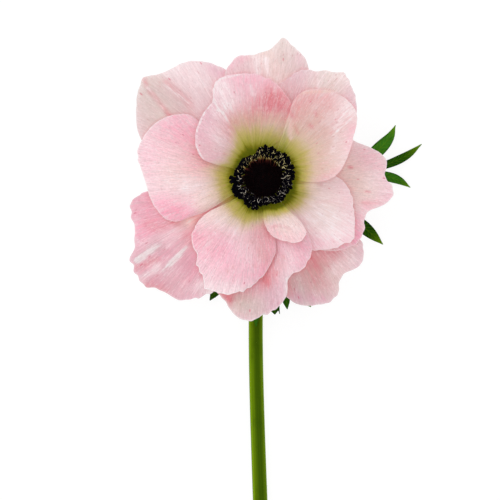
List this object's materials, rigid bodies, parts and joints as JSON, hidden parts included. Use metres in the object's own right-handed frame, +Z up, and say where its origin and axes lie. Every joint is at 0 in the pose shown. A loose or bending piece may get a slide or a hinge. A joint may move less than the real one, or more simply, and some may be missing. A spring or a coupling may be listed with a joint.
{
  "type": "cut anemone flower",
  "caption": "Cut semi-double pale pink anemone lying face up, with a dark dome and stamens, divided leaves under the bloom and a long bent green stem.",
  "frame": {"origin": "on the surface that the flower lies on, under the middle of its bounding box", "axes": "+Z up, the way the flower faces; +Y from the cut end of the stem towards the flower"},
  "size_m": [0.1, 0.2983, 0.034],
  "materials": {
    "petal": "soft matte petal, pale pink with an olive foot",
    "stem": "fresh green stem with fine hairs",
    "leaf": "fresh green leaf, slightly waxy",
    "dome": "velvety near-black",
    "stamens": "navy-black anthers on pale filaments"
  },
  "bodies": {
    "root": {"stem": "stem", "dome": "dome", "stamens": "stamens", "petal_front_small": "petal", "petal_front_lower_left": "petal", "petal_front_upper_right": "petal", "petal_front_upper_left": "petal", "petal_front_bottom": "petal", "petal_middle_left": "petal", "petal_middle_upper_right": "petal", "petal_middle_lower_right": "petal", "petal_back_top": "petal", "petal_back_right": "petal", "petal_back_upper_left": "petal", "petal_back_lower_left": "petal", "petal_back_lower_right": "petal", "leaf_right": "leaf", "leaf_bottom": "leaf", "leaf_upper_left": "leaf"}
  },
  "joints": []
}
